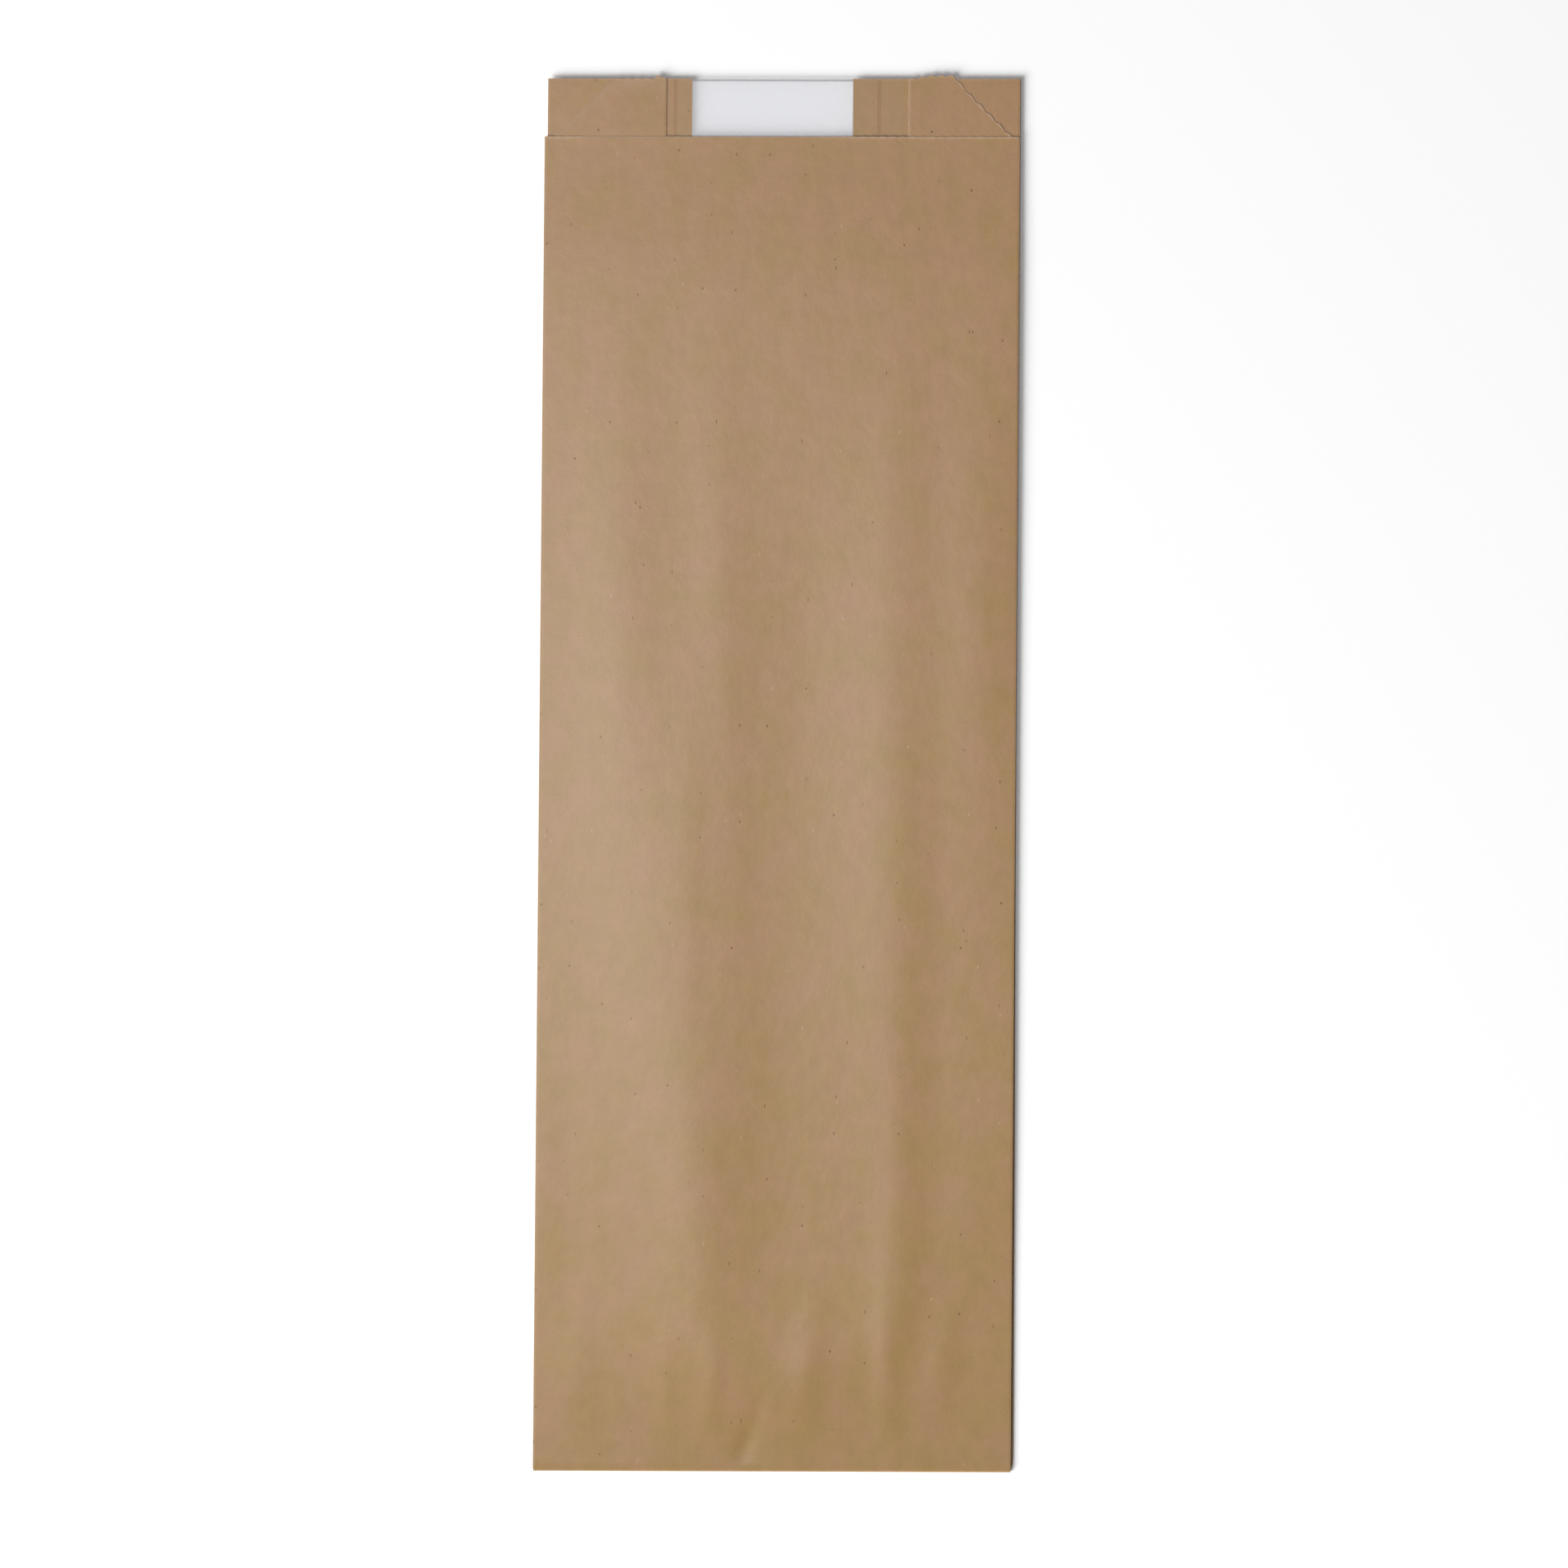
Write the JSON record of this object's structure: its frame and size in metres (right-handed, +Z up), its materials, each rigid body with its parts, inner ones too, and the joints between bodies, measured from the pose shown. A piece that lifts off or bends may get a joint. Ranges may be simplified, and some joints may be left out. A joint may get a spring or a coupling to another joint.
{
  "type": "paper bakery bag with window",
  "caption": "Flat, empty gusseted kraft paper bread bag lying on its front, with a full-length clear film strip glued inside the front.",
  "frame": {"origin": "middle of the underside: half the width, half the length, on the surface the bag lies on", "axes": "+X across the bag, +Y along it from the bottom fold to the mouth, +Z up out of its plain back"},
  "size_m": [0.16, 0.47, 0.0031],
  "materials": {
    "kraft_paper": "satin brown kraft paper, with light and dark fibre specks",
    "clear_film": "thin clear glossy film"
  },
  "bodies": {
    "root": {"paper_bag": "kraft_paper", "window_film": "clear_film"}
  },
  "joints": []
}
